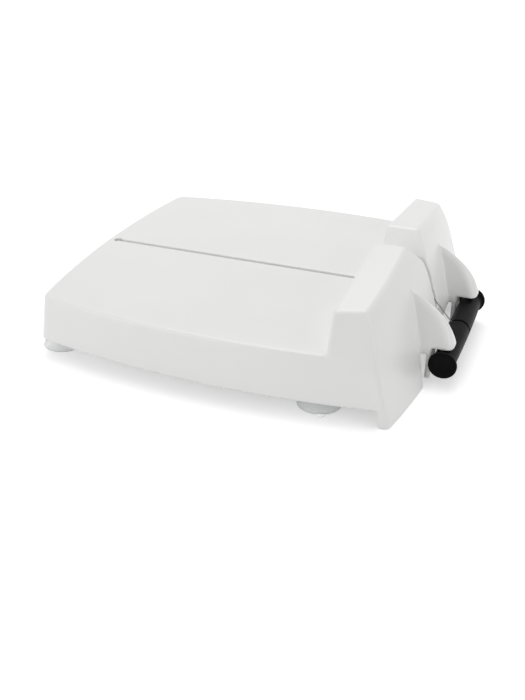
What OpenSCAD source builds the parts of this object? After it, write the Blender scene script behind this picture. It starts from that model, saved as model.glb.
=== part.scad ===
// Wire cheese slicer: a moulded board on suction feet. A wire lies in the board's groove, turns over
// a pin in the slot between two stops and ends in a pull handle that parks under two hooks.
// The board lies along X with the handle at +X, Y = 0 is the plane of the wire, Z = 0 is the counter.

/* [Board] */
// Overall length, from the bow of the closed end to the rim of the parked handle
overall_length = 406; // [390:1:430]
// Width of the deck at its widest
deck_width = 340; // [320:1:370]
// Height of the deck above the counter
deck_height = 62.5; // [58:0.5:68]
// Height of the skirt's lower edge above the counter
skirt_clearance = 17; // [15:0.5:21]
// Plan radius of the two bowed long sides
side_bow_radius = 874; // [760:1:1100]
// Plan radius of the bowed closed end
end_bow_radius = 937; // [760:1:1400]
// Draft of the skirts in degrees
skirt_draft = 7; // [4:0.5:9]
// Thickness of the moulded walls
wall = 3.5; // [2.8:0.1:4.2]
// Height of the stiffening ribs under the deck
rib_height = 8; // [5:0.5:12]
// Thickness of the stiffening ribs
rib_thickness = 2.5; // [2:0.1:3]

/* [Stops] */
// Distance from the closed end to the stop faces at deck level
stop_distance = 308; // [295:1:312]
// Lean of the stop faces in degrees
stop_lean = 1; // [0.5:0.5:4]
// Height of the ridges above the counter
ridge_height = 113; // [108:0.5:118]
// Distance of each ridge from the plane of the wire
ridge_offset = 24; // [20:0.5:30]
// Fall of the roofs towards the long sides in degrees
roof_fall = 6.5; // [4:0.1:9]
// Distance of the flat part of the roofs from the widest line of the deck
eave_inset = 29; // [26:0.5:34]
// Radius of the round eaves
eave_radius = 28; // [27.5:0.5:34]
// Angle between a roof and its eave where they meet, in degrees
eave_break = 5; // [3:0.5:8]
// Slope of the notch's flanks, which lead the wire into the slot, in degrees
notch_slope = 45; // [35:0.5:52]
// Width of the slot between the stops
slot_width = 6; // [5.5:0.1:8]
// Height of the bottom of the slot in the end wall
slot_foot = 44; // [42:0.5:47]

/* [End wall] */
// Distance of the end wall's foot from the outermost reach of the handle
end_wall_setback = 23.2; // [22.8:0.1:24]
// Lean of the end wall in degrees
end_wall_lean = 16.1; // [15:0.1:16.6]
// Plan radius of the bowed end wall
end_wall_bow_radius = 834; // [720:1:1000]
// Height of the brow where the end wall leans back to the roofs
brow_height = 86; // [84:0.5:87]
// Lean of the end wall above the brow in degrees
brow_lean = 34; // [26:0.5:38]
// Width of the hand opening at the counter
opening_foot_width = 164; // [156:1:176]
// Width of the hand opening at its top edge
opening_top_width = 146; // [144:1:154]
// Height of the hand opening's top edge
opening_height = 29; // [27:0.5:31]
// Depth of the apron's return at each corner
apron_return = 10; // [6:0.1:12]
// Height of the apron's lower edge above the counter
apron_clearance = 0.5; // [0.3:0.1:3]

/* [Hooks] */
// Distance of each hook's middle from the plane of the wire
hook_offset = 58.5; // [56:0.5:59]
// Width of a hook at its tip
hook_width = 24; // [20:0.5:24.5]
// Height of the pointed top of a hook
hook_top = 89; // [88.5:0.5:92]
// Depth by which the pointed top of a hook runs into the end wall
hook_sink = 1.5; // [1:0.1:2.5]
// Height of a hook's tip
hook_tip_height = 36; // [35.5:0.1:38]
// Distance of a hook's tip from the outermost reach of the handle
hook_tip_setback = 6.5; // [5.5:0.1:9]
// Radius of the bulging ridge of a hook
hook_ridge_radius = 97; // [85:1:140]
// Wall thickness of a hook
hook_wall = 3; // [2.4:0.1:3.4]
// Height of the lower end of the jaws behind the handle
jaw_foot = 4; // [3:0.5:9]
// Depth of the jaws along the board
jaw_depth = 5; // [4:0.1:6]
// Clearance of the jaws from the parked handle
jaw_clearance = 0.4; // [0.3:0.05:1]

/* [Wire] */
// Diameter of the wire
wire_diameter = 1; // [0.6:0.1:1.2]
// Width of the groove in the deck
groove_width = 5; // [4.6:0.1:5.4]
// Depth of the groove
groove_depth = 7; // [6.5:0.1:8]
// Height of the wire's middle above the groove's floor
wire_lift = 1.5; // [1.4:0.1:2]
// Distance of the anchor from the closed end
anchor_distance = 17; // [14:0.5:22]
// Diameter of the pocket round the anchor
anchor_pocket_diameter = 9; // [8.5:0.1:11]
// Diameter of the guide pin at the slot
pin_diameter = 5; // [4:0.1:6]
// Distance of the guide pin from the outermost reach of the handle
pin_setback = 45; // [44.5:0.5:46]
// Half the length of the guide pin
pin_half_length = 9; // [7:0.5:10]

/* [Anchor] */
// Diameter of the anchor screw's shank
screw_diameter = 3; // [2.5:0.1:3.5]
// Length of the shank below the head
screw_length = 18; // [14:0.5:20]
// Diameter of the screw's head
screw_head_diameter = 6; // [5.4:0.1:6.6]
// Height of the screw's head
screw_head_height = 2; // [1.6:0.1:2.4]
// Outer diameter of the washer
washer_diameter = 7.4; // [6.8:0.1:8]
// Thickness of the washer
washer_thickness = 0.8; // [0.5:0.1:1]
// Diameter of the boss that takes the screw
screw_boss_diameter = 12; // [9:0.5:15]
// Diameter of the crimped ferrule on the wire
ferrule_diameter = 2.6; // [2.2:0.1:2.7]
// Length of the ferrule
ferrule_length = 8; // [6:0.5:12]

/* [Handle] */
// Length of the handle over its flanges
handle_length = 151; // [150:0.5:158]
// Height of the parked handle's axis
handle_height = 23; // [22:0.1:23.3]
// Diameter of the grip at its middle
grip_diameter = 22.6; // [20:0.1:23]
// Diameter of the grip beside the flanges
grip_end_diameter = 20.6; // [18:0.1:22]
// Diameter of the end flanges
flange_diameter = 27; // [24:0.5:28]
// Thickness of the end flanges
flange_thickness = 4.2; // [3:0.1:4.4]
// Depth of the dish in the end faces
flange_dish = 1; // [0.5:0.1:1.6]
// Width of the joint between the two halves
joint_gap = 2; // [1.8:0.1:2.6]
// Diameter of the core rod
core_diameter = 6; // [5:0.1:7]
// Length of the core rod
core_length = 90; // [70:1:120]
// Outer diameter of the wire's eye
eye_diameter = 12; // [10:0.5:14]
// Width of the wire's eye
eye_width = 1.4; // [1.2:0.1:1.5]

/* [Feet] */
// Diameter of a suction cup
cup_diameter = 42; // [38:0.5:42]
// Diameter of a cup's neck
cup_neck_diameter = 15; // [12:0.5:18]
// Thickness of a cup's skin
cup_skin = 2; // [1.6:0.1:2.6]
// Height of a cup's dome at the neck
cup_dome_height = 12; // [9:0.5:14]
// Diameter of the stud that plugs into the board
stud_diameter = 8; // [6:0.1:10]
// Length of the stud
stud_length = 13; // [9:0.5:16]
// Diameter of the bosses that take the studs
stud_boss_diameter = 20; // [16:0.5:24]
// Length of the pull tab
tab_length = 5; // [4:0.5:9]
// Width of the pull tab
tab_width = 7; // [6:0.5:10]
// Turn of the pull tabs at the closed end from straight outwards towards the handle
closed_end_tab_turn = 90; // [0:5:180]
// Turn of the pull tabs near the stops from straight outwards towards the handle
stop_tab_turn = 20; // [0:5:90]
// Distance of the feet at the closed end from that end
closed_end_feet = 21; // [21:0.5:34]
// Distance of the feet at the closed end from the widest line of the deck
closed_end_feet_inset = 43; // [41:0.5:58]
// Distance of the feet near the stops from the closed end
stop_feet = 296.5; // [285:0.5:300]
// Distance of the feet near the stops from the widest line of the deck
stop_feet_inset = 30; // [29:0.5:52]

/* [Fits] */
// Radial clearance of the eye on the core
running_clearance = 0.05; // [0.02:0.01:0.1]
// Clearance of pieces that are pushed or clamped together
seat_clearance = 0.02; // [0.01:0.01:0.05]
// Clearance between pieces that move past each other
moving_clearance = 0.3; // [0.3:0.05:0.4]

/* [Hidden] */

// Margin by which cutting bodies pass the faces that they cut
cut = 2;
// Smoothness of the great bows and of the small round pieces
bow_facets = 720;
round_facets = 96;
// Number of conical bands that shape the swelling grip
grip_bands = 6;

// Ends of the board and heights along it
x_closed = -overall_length / 2;
x_reach = overall_length / 2;
x_stop = x_closed + stop_distance;
x_wall_foot = x_reach - end_wall_setback;
groove_floor = deck_height - groove_depth;
low_z = -cut;
high_z = ridge_height + cut;

// The handle's axis, the guide pin's axis and the wire between them
handle_x = x_reach - flange_diameter / 2;
wire_z = groove_floor + wire_lift;
pin_x = x_reach - pin_setback;
bend_radius = pin_diameter / 2 + moving_clearance + wire_diameter / 2;
pin_z = wire_z - bend_radius;
tail_dx = handle_x - pin_x;
tail_dz = handle_height - pin_z;
tail_span = sqrt(tail_dx * tail_dx + tail_dz * tail_dz);
tail_turn = atan2(tail_dz, tail_dx) + acos(bend_radius / tail_span);
tail_start_x = pin_x + bend_radius * cos(tail_turn);
tail_start_z = pin_z + bend_radius * sin(tail_turn);
tail_length = sqrt(tail_span * tail_span - bend_radius * bend_radius) - eye_diameter / 2;

// The anchor
anchor_x = x_closed + anchor_distance;
loop_radius = screw_diameter / 2 + moving_clearance + wire_diameter / 2;
washer_z = wire_z + wire_diameter / 2 + seat_clearance;

// Plan sag of a bow at a distance from its middle
function bow_sag(radius, offset) = radius - sqrt(radius * radius - offset * offset);

// Outer face of the end wall at a height and a distance from the wire's plane
function wall_x(offset, height) =
    x_wall_foot - height * tan(end_wall_lean) - bow_sag(end_wall_bow_radius, offset)
    - max(0, height - brow_height) * (tan(brow_lean) - tan(end_wall_lean));

// One leaning, bowed face of the board: a great cone on a vertical axis, drawn in by inset
module bowed_face(radius, datum, lean, inset) {
    translate([0, 0, low_z])
        cylinder(h = high_z - low_z,
            r1 = radius - inset + (datum - low_z) * tan(lean),
            r2 = radius - inset + (datum - high_z) * tan(lean), $fn = bow_facets);
}

module end_wall_face(inset) {
    translate([x_wall_foot - end_wall_bow_radius, 0, 0])
        intersection() {
            bowed_face(end_wall_bow_radius, 0, end_wall_lean, inset);
            bowed_face(end_wall_bow_radius - brow_height * tan(end_wall_lean), brow_height, brow_lean, inset);
        }
}

// Space inside the four bowed faces, at all heights
module bowed_block(inset) {
    intersection() {
        translate([x_closed + end_bow_radius, 0, 0])
            bowed_face(end_bow_radius, skirt_clearance, skirt_draft, inset);
        end_wall_face(inset);
        intersection_for (side = [-1, 1])
            translate([0, side * (deck_width / 2 - side_bow_radius), 0])
                bowed_face(side_bow_radius, deck_height, skirt_draft, inset);
    }
}

// Outline of one stop in the YZ plane, from the slot up the notch's flank and down the roof to the
// round eave, drawn in by inset
module roof_outline(inset) {
    slot_face = slot_width / 2;
    notch_foot = ridge_height - (ridge_offset - slot_face) * tan(notch_slope);
    flank_drop = inset / cos(notch_slope);
    roof_drop = inset / cos(roof_fall);
    ridge_shift = (flank_drop - roof_drop) / (tan(notch_slope) + tan(roof_fall));
    far = deck_width;
    eave_y = deck_width / 2 - eave_inset;
    eave_z = ridge_height - (eave_y - ridge_offset) * tan(roof_fall);
    centre_y = eave_y - eave_radius * sin(roof_fall + eave_break);
    centre_z = eave_z - eave_radius * cos(roof_fall + eave_break);
    intersection() {
        polygon([
            [slot_face + inset, low_z],
            [slot_face + inset, notch_foot + inset * tan(notch_slope) - flank_drop],
            [ridge_offset + ridge_shift, ridge_height - roof_drop - ridge_shift * tan(roof_fall)],
            [far, ridge_height - roof_drop - (far - ridge_offset) * tan(roof_fall)],
            [far, low_z]]);
        union() {
            translate([centre_y, centre_z])
                circle(r = eave_radius - inset, $fn = bow_facets);
            translate([0, low_z])
                square([centre_y, high_z - low_z]);
            translate([0, low_z])
                square([far, centre_z - low_z]);
        }
    }
}

// Both stops under their roofs, right of the leaning stop faces
module stop_prisms(inset) {
    face_low = x_stop + inset + (low_z - deck_height) * tan(stop_lean);
    face_high = x_stop + inset + (high_z - deck_height) * tan(stop_lean);
    intersection() {
        for (side = [0, 1])
            mirror([0, side, 0])
                rotate([90, 0, 90])
                    linear_extrude(height = x_reach)
                        roof_outline(inset);
        translate([0, deck_width, 0])
            rotate([90, 0, 0])
                linear_extrude(height = 2 * deck_width)
                    polygon([[face_low, low_z], [x_reach, low_z], [x_reach, high_z], [face_high, high_z]]);
    }
}

// Slab across the whole board between two heights
module slab(from, to) {
    translate([-overall_length, -deck_width, from])
        cube([2 * overall_length, 2 * deck_width, to - from]);
}

// Opening in the apron where the hand reaches the parked handle
module hand_opening() {
    translate([x_stop, 0, 0])
        rotate([90, 0, 90])
            linear_extrude(height = x_reach)
                polygon([
                    [-opening_foot_width / 2, 0], [opening_foot_width / 2, 0],
                    [opening_top_width / 2, opening_height], [-opening_top_width / 2, opening_height]]);
}

// Front outline of a hook in the YZ plane: a point that widens to the tip and then hangs straight
module hook_outline(inset) {
    half = hook_width / 2 - inset;
    rise = (hook_top - hook_tip_height) * half * 2 / hook_width;
    polygon([
        [0, hook_tip_height + rise], [half, hook_tip_height], [half, -inset * cut],
        [-half, -inset * cut], [-half, hook_tip_height]]);
}

// Space under the bulging ridge of a hook, drawn in by inset
module hook_ridge(inset) {
    apex_x = wall_x(hook_offset, hook_top) - hook_sink;
    tip_x = x_reach - hook_tip_setback;
    chord_x = tip_x - apex_x;
    chord_z = hook_tip_height - hook_top;
    chord = sqrt(chord_x * chord_x + chord_z * chord_z);
    back = sqrt(hook_ridge_radius * hook_ridge_radius - chord * chord / 4);
    translate([(apex_x + tip_x) / 2 + back * chord_z / chord, 0,
            (hook_top + hook_tip_height) / 2 - back * chord_x / chord])
        rotate([90, 0, 0])
            cylinder(h = hook_width + cut, r = hook_ridge_radius - inset, center = true, $fn = bow_facets);
}

// One hook body on the wire's plane, from the stop faces to its ridge, before its seat is cut
module hook_body(inset) {
    intersection() {
        translate([x_stop + wall, 0, 0])
            rotate([90, 0, 90])
                linear_extrude(height = x_reach)
                    hook_outline(inset);
        hook_ridge(inset);
    }
}

// Space round the jaws: the parked handle's seat in front of them, and the hand opening behind and
// below them
module handle_seat() {
    jaw_x = handle_x - grip_diameter / 2 - jaw_clearance;
    translate([jaw_x, -hook_width, -cut])
        cube([overall_length, 2 * hook_width, hook_tip_height + cut]);
    translate([x_stop, -hook_width, -cut])
        cube([jaw_x - jaw_depth - x_stop, 2 * hook_width, opening_height + cut]);
    translate([x_stop, -hook_width, -cut])
        cube([overall_length, 2 * hook_width, jaw_foot + cut]);
}

module hooks_outer() {
    for (side = [-1, 1])
        translate([0, side * hook_offset, 0])
            difference() {
                hook_body(0);
                handle_seat();
            }
}

// Hollow of the hooks in front of the end wall, open between the jaws below it
module hooks_hollow() {
    difference() {
        for (side = [-1, 1])
            translate([0, side * hook_offset, 0])
                hook_body(hook_wall);
        intersection() {
            end_wall_face(0);
            slab(opening_height - cut, high_z);
        }
    }
}

// Hollow inside of the moulding
module main_hollow() {
    intersection() {
        bowed_block(wall);
        union() {
            slab(low_z, deck_height - wall);
            stop_prisms(wall);
        }
    }
}

// Skirts, deck, stops, end wall and hooks as one thin shell
module shell() {
    difference() {
        union() {
            difference() {
                intersection() {
                    bowed_block(0);
                    slab(apron_clearance, ridge_height);
                    union() {
                        slab(0, deck_height);
                        stop_prisms(0);
                    }
                }
                hand_opening();
            }
            hooks_outer();
        }
        main_hollow();
        hooks_hollow();
        // The skirts end above the counter, and only the apron of the end wall goes on down
        translate([-overall_length, -deck_width, -cut])
            cube([overall_length + wall_x(deck_width / 2, 0) - apron_return, 2 * deck_width,
                skirt_clearance + cut]);
    }
}

// Place of each foot: corner_x is -1 at the closed end, corner_y is -1 on the near side
function foot_place(corner_x, corner_y) = corner_x < 0
    ? [x_closed + closed_end_feet, corner_y * (deck_width / 2 - closed_end_feet_inset), 0]
    : [x_closed + stop_feet, corner_y * (deck_width / 2 - stop_feet_inset), 0];

// Ribs, bosses and the trough under the groove
module inner_features() {
    trough_half = groove_width / 2 + wall;
    rib_top = deck_height - wall / 2;
    rib_foot = deck_height - wall - rib_height;
    intersection() {
        bowed_block(wall / 2);
        union() {
            translate([x_closed, -trough_half, groove_floor - wall])
                cube([overall_length, 2 * trough_half, rib_top - groove_floor + wall]);
            for (side = [-1, 1])
                translate([x_closed, side * deck_width / 4 - rib_thickness / 2, rib_foot])
                    cube([stop_distance + wall / 2, rib_thickness, rib_top - rib_foot]);
            for (third = [1, 2])
                translate([x_closed + third * stop_distance / 3, -deck_width / 2, rib_foot])
                    cube([rib_thickness, deck_width, rib_top - rib_foot]);
            for (corner_x = [-1, 1], corner_y = [-1, 1])
                translate(foot_place(corner_x, corner_y) + [0, 0, skirt_clearance])
                    cylinder(h = rib_top - skirt_clearance, d = stud_boss_diameter, $fn = round_facets);
            // Block that carries the guide pin
            translate([pin_x - pin_diameter - wall, -pin_half_length, slot_foot])
                cube([overall_length, 2 * pin_half_length, rib_top - slot_foot]);
        }
    }
    translate([anchor_x, 0, wire_z - screw_length - wall])
        cylinder(h = screw_length, d = screw_boss_diameter, $fn = round_facets);
}

// Wire groove with its round pocket, the slot at the handle end and all round holes
module board_cuts() {
    translate([anchor_x, -groove_width / 2, groove_floor])
        cube([overall_length, groove_width, groove_depth + cut]);
    translate([anchor_x, 0, groove_floor])
        cylinder(h = groove_depth + cut, d = anchor_pocket_diameter, $fn = round_facets);
    translate([pin_x - pin_diameter, -slot_width / 2, slot_foot])
        cube([overall_length, slot_width, deck_height - slot_foot + cut]);
    translate([pin_x, pin_half_length + cut, pin_z])
        rotate([90, 0, 0])
            cylinder(h = 2 * (pin_half_length + cut), d = pin_diameter + 2 * seat_clearance, $fn = round_facets);
    translate([anchor_x, 0, washer_z - screw_length])
        cylinder(h = screw_length, d = screw_diameter + 2 * seat_clearance, $fn = round_facets);
    for (corner_x = [-1, 1], corner_y = [-1, 1])
        translate(foot_place(corner_x, corner_y) + [0, 0, skirt_clearance - cut])
            cylinder(h = stud_length + seat_clearance + cut, d = stud_diameter + 2 * seat_clearance,
                $fn = round_facets);
}

module board() {
    color("white")
        difference() {
            union() {
                shell();
                inner_features();
            }
            board_cuts();
        }
}

// Half section of a suction cup, with its dome hollow below and its stud on top
module cup_section() {
    rim = cup_diameter / 2;
    neck = cup_neck_diameter / 2;
    dome_radius = (rim * rim + cup_dome_height * cup_dome_height) / (2 * cup_dome_height);
    difference() {
        union() {
            intersection() {
                translate([0, cup_dome_height - dome_radius])
                    circle(r = dome_radius, $fn = bow_facets);
                square([rim, cup_dome_height]);
            }
            square([rim, cup_skin / 2]);
            square([neck, skirt_clearance]);
            square([stud_diameter / 2, skirt_clearance + stud_length]);
        }
        translate([0, cup_dome_height - dome_radius - cup_skin])
            intersection() {
                circle(r = dome_radius, $fn = bow_facets);
                translate([0, dome_radius - cup_dome_height])
                    square([rim, cup_dome_height + cup_skin]);
            }
        translate([-cut, -cut])
            square([cut, skirt_clearance + stud_length + 2 * cut]);
    }
}

// Turn of a cup's pull tab about the cup's axis, from the +X direction
function tab_angle(corner_x, corner_y) =
    corner_y * (90 - (corner_x < 0 ? closed_end_tab_turn : stop_tab_turn));

// One suction cup with its pull tab
module suction_cup(corner_x, corner_y) {
    tab_middle = cup_diameter / 2 + tab_length - tab_width / 2;
    color("gainsboro")
        translate(foot_place(corner_x, corner_y)) {
            rotate_extrude($fn = round_facets)
                cup_section();
            rotate([0, 0, tab_angle(corner_x, corner_y)])
                difference() {
                    union() {
                        translate([0, -tab_width / 2, 0])
                            cube([tab_middle, tab_width, cup_skin / 2]);
                        translate([tab_middle, 0, 0])
                            cylinder(h = cup_skin / 2, d = tab_width, $fn = round_facets);
                    }
                    translate([0, 0, -cut])
                        cylinder(h = 2 * cut, d = cup_diameter - 2 * cup_skin, $fn = round_facets);
                }
        }
}

module suction_cup_near_left() { suction_cup(-1, -1); }

module suction_cup_near_right() { suction_cup(1, -1); }

module suction_cup_far_left() { suction_cup(-1, 1); }

module suction_cup_far_right() { suction_cup(1, 1); }

// The wire's stretch on the board: its loop round the screw, its run and its bend over the guide pin
module cutting_wire() {
    color("silver") {
        translate([anchor_x, 0, wire_z])
            rotate_extrude($fn = round_facets)
                translate([loop_radius, 0])
                    circle(d = wire_diameter, $fn = round_facets);
        translate([anchor_x + loop_radius, 0, wire_z])
            rotate([0, 90, 0])
                cylinder(h = pin_x - anchor_x - loop_radius, d = wire_diameter, $fn = round_facets);
        translate([pin_x, 0, pin_z])
            rotate([90, -90, 0])
                mirror([0, 1, 0])
                    rotate_extrude(angle = 90 - tail_turn, $fn = round_facets)
                        translate([bend_radius, 0])
                            circle(d = wire_diameter, $fn = round_facets);
    }
}

module anchor_screw() {
    color("silver")
        translate([anchor_x, 0, washer_z + washer_thickness])
            difference() {
                union() {
                    cylinder(h = screw_head_height, d = screw_head_diameter, $fn = round_facets);
                    translate([0, 0, -screw_length + washer_thickness])
                        cylinder(h = screw_length, d = screw_diameter, $fn = round_facets);
                }
                for (turn = [0, 90])
                    rotate([0, 0, turn])
                        translate([-screw_head_diameter / 3, -screw_diameter / 8, screw_head_height / 2])
                            cube([screw_head_diameter * 2 / 3, screw_diameter / 4, screw_head_height]);
            }
}

module anchor_washer() {
    color("silver")
        translate([anchor_x, 0, washer_z])
            difference() {
                cylinder(h = washer_thickness, d = washer_diameter, $fn = round_facets);
                translate([0, 0, -cut])
                    cylinder(h = 2 * cut, d = screw_diameter + 2 * seat_clearance, $fn = round_facets);
            }
}

// Crimped sleeve that closes the loop
module anchor_ferrule() {
    color("darkgray")
        translate([anchor_x + washer_diameter / 2 + moving_clearance, 0, wire_z])
            rotate([0, 90, 0])
                difference() {
                    cylinder(h = ferrule_length, d = ferrule_diameter, $fn = round_facets);
                    translate([0, 0, -cut])
                        cylinder(h = ferrule_length + 2 * cut, d = wire_diameter + 2 * seat_clearance,
                            $fn = round_facets);
                }
}

module guide_pin() {
    color("silver")
        translate([pin_x, pin_half_length, pin_z])
            rotate([90, 0, 0])
                cylinder(h = 2 * pin_half_length, d = pin_diameter, $fn = round_facets);
}

// The wire from the guide pin to its eye in the handle
module wire_tail() {
    color("silver")
        translate([tail_start_x, 0, tail_start_z])
            rotate([0, 180 - tail_turn, 0])
                cylinder(h = tail_length, d = wire_diameter, $fn = round_facets);
}

// Ring at the end of the wire, in which the handle's core turns
module wire_eye() {
    color("darkgray")
        translate([handle_x, eye_width / 2, handle_height])
            rotate([90, 0, 0])
                difference() {
                    cylinder(h = eye_width, d = eye_diameter, $fn = round_facets);
                    translate([0, 0, -cut])
                        cylinder(h = eye_width + 2 * cut, d = core_diameter + 2 * running_clearance,
                            $fn = round_facets);
                }
}

// Half section of a handle half, from the joint at 0 out to the flange's face
module handle_section() {
    half_length = handle_length / 2;
    middle = grip_diameter / 2;
    swell = middle - grip_end_diameter / 2;
    flange_radius = flange_diameter / 2;
    crown_radius = flange_thickness * 0.7;
    dish = flange_radius - flange_thickness;
    dish_radius = (dish * dish + flange_dish * flange_dish) / (2 * flange_dish);
    difference() {
        union() {
            polygon(concat(
                [[0, half_length - flange_thickness / 2], [0, joint_gap / 2], [middle, joint_gap / 2]],
                [for (part = [1 : grip_bands])
                    let (share = part / grip_bands)
                    [middle - swell * share * share, share * (half_length - flange_thickness / 2)]]));
            intersection() {
                translate([0, half_length - flange_thickness])
                    square([flange_radius + cut, flange_thickness]);
                union() {
                    translate([0, half_length - flange_thickness - cut])
                        square([flange_radius - crown_radius, flange_thickness + 2 * cut]);
                    translate([flange_radius - crown_radius, half_length - flange_thickness / 2])
                        circle(r = crown_radius, $fn = round_facets);
                }
            }
        }
        square([core_diameter / 2 + seat_clearance, core_length / 2 + seat_clearance]);
        intersection() {
            translate([0, half_length - flange_dish + dish_radius])
                circle(r = dish_radius, $fn = bow_facets);
            translate([0, half_length - 2 * flange_dish])
                square([flange_radius, 2 * flange_dish + cut]);
        }
    }
}

module handle_half(side) {
    color("#1b1b1c")
        translate([handle_x, 0, handle_height])
            rotate([-90 * side, 0, 0])
                rotate_extrude($fn = round_facets)
                    handle_section();
}

module handle_half_near() { handle_half(-1); }

module handle_half_far() { handle_half(1); }

module handle_core() {
    color("silver")
        translate([handle_x, core_length / 2, handle_height])
            rotate([90, 0, 0])
                cylinder(h = core_length, d = core_diameter, $fn = round_facets);
}

board();
suction_cup_near_left();
suction_cup_near_right();
suction_cup_far_left();
suction_cup_far_right();
cutting_wire();
anchor_screw();
anchor_washer();
anchor_ferrule();
guide_pin();
wire_tail();
wire_eye();
handle_half_near();
handle_half_far();
handle_core();
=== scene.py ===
# %% [markdown]
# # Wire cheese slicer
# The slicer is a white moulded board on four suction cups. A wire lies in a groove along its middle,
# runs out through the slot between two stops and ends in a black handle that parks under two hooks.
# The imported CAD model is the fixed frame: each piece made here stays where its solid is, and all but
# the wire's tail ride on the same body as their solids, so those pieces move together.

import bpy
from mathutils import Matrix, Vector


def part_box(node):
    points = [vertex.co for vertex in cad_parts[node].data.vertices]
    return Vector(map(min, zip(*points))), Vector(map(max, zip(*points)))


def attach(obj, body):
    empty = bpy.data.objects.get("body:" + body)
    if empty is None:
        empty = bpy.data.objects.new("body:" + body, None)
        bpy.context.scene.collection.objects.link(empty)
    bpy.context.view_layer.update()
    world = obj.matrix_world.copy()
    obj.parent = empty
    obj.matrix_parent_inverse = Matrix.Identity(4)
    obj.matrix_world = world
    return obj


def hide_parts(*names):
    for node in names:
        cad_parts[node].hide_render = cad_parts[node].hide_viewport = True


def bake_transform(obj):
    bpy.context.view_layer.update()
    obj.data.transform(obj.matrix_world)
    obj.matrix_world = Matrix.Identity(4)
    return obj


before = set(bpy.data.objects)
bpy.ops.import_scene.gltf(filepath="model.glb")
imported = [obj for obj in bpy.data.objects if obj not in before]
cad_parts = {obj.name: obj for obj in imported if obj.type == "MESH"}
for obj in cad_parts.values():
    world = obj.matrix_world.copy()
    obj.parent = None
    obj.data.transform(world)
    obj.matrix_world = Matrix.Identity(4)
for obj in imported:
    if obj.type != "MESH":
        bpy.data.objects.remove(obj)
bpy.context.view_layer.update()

# %% [markdown]
# ## Camera
# The camera stands where the photograph was taken from: about 29 degrees above the deck and 21 degrees
# round towards the handle. Its focal length was worked out in pixels of a 700 pixel tall picture, so it
# is turned into a lens length on Blender's 36 mm sensor.

# %% Camera
import math

import bmesh
import bpy
import numpy
from mathutils import Matrix, Vector

PICTURE_HEIGHT = 700
FOCAL_PIXELS = 931
SENSOR_SIZE = 36
CAMERA_PLACE = (0.307, -0.823, 0.453)
CAMERA_TURN = (60.8, 0, 21.5)

scene = bpy.context.scene
scene.view_settings.view_transform = "Standard"
camera_data = bpy.data.cameras.new("photo_camera")
camera_data.sensor_width = SENSOR_SIZE
camera_data.lens = FOCAL_PIXELS * SENSOR_SIZE / PICTURE_HEIGHT
camera = bpy.data.objects.new("photo_camera", camera_data)
camera.location = CAMERA_PLACE
camera.rotation_euler = [math.radians(angle) for angle in CAMERA_TURN]
scene.collection.objects.link(camera)
scene.camera = camera
print("lens in millimetres:", round(camera_data.lens, 2))

# %% [markdown]
# ## Colours and nodes
# Colours are written as the hex values that a picture shows. A shader works in linear light, so one
# function converts them. A second function adds a node, sets its options and links its inputs. It
# serves shader trees and Geometry Nodes trees alike.

# %% Helpers for colours and nodes
MM = 0.001


def linear(hex_colour):
    """Turn an sRGB hex colour into linear red, green, blue and alpha."""
    parts = [int(hex_colour[index:index + 2], 16) / 255 for index in (1, 3, 5)]
    light = [part / 12.92 if part <= 0.04045 else ((part + 0.055) / 1.055) ** 2.4 for part in parts]
    return (*light, 1)


def add_node(tree, kind, options=None, inputs=None):
    """Add one node, set its options, and set or link its inputs."""
    node = tree.nodes.new(kind)
    for name, value in (options or {}).items():
        setattr(node, name, value)
    for name, value in (inputs or {}).items():
        if isinstance(value, bpy.types.NodeSocket):
            tree.links.new(value, node.inputs[name])
        else:
            node.inputs[name].default_value = value
    return node


def new_material(name):
    """Return a new material, its empty tree and the object coordinates in metres."""
    material = bpy.data.materials.new(name)
    material.use_nodes = True
    tree = material.node_tree
    tree.nodes.clear()
    place = add_node(tree, "ShaderNodeTexCoord").outputs["Object"]
    return material, tree, place


def finish_material(tree, shader):
    """Send a shader to the material's surface."""
    add_node(tree, "ShaderNodeOutputMaterial", inputs={"Surface": shader.outputs[0]})


print("white in linear light:", linear("#f2f2f0"))

# %% [markdown]
# ## White moulded board plastic
# The board is injection moulded from white impact polystyrene. The mould was polished, so the skin is
# smooth with a soft gloss. Three small things keep it from looking painted: broad, very faint shifts
# of tone where the wall cooled at different rates, fine scuffs that break up the gloss, and a slight
# ripple of the skin a few centimetres long. All three are noise textures on object coordinates.

# %% Material of the board
COOLING_PATCH = 70 * MM
SCUFF_SIZE = 2.5 * MM
RIPPLE_LENGTH = 30 * MM
RIPPLE_HEIGHT = 0.3 * MM

# Smooth white gives soft, wide highlights that follow the moulding's rounded edges
white_moulding, tree, place = new_material("impact_polystyrene_moulded_white")
patches = add_node(tree, "ShaderNodeTexNoise",
                   inputs={"Vector": place, "Scale": 1 / COOLING_PATCH, "Detail": 2})
tone = add_node(tree, "ShaderNodeMix", {"data_type": "RGBA"}, {"Factor": patches.outputs["Fac"]})
tone.inputs[6].default_value = linear("#efefee")
tone.inputs[7].default_value = linear("#f5f5f4")
scuffs = add_node(tree, "ShaderNodeTexNoise",
                  inputs={"Vector": place, "Scale": 1 / SCUFF_SIZE, "Detail": 4})
gloss = add_node(tree, "ShaderNodeMapRange",
                 inputs={"Value": scuffs.outputs["Fac"], "To Min": 0.24, "To Max": 0.38})
ripple = add_node(tree, "ShaderNodeTexNoise",
                  inputs={"Vector": place, "Scale": 1 / RIPPLE_LENGTH, "Detail": 1})
bump = add_node(tree, "ShaderNodeBump",
                inputs={"Height": ripple.outputs["Fac"], "Strength": 0.25, "Distance": RIPPLE_HEIGHT})
shader = add_node(tree, "ShaderNodeBsdfPrincipled", inputs={
    "Base Color": tone.outputs[2], "Roughness": gloss.outputs["Result"], "Normal": bump.outputs["Normal"],
    "IOR": 1.55})
finish_material(tree, shader)
print("made", white_moulding.name)

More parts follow.
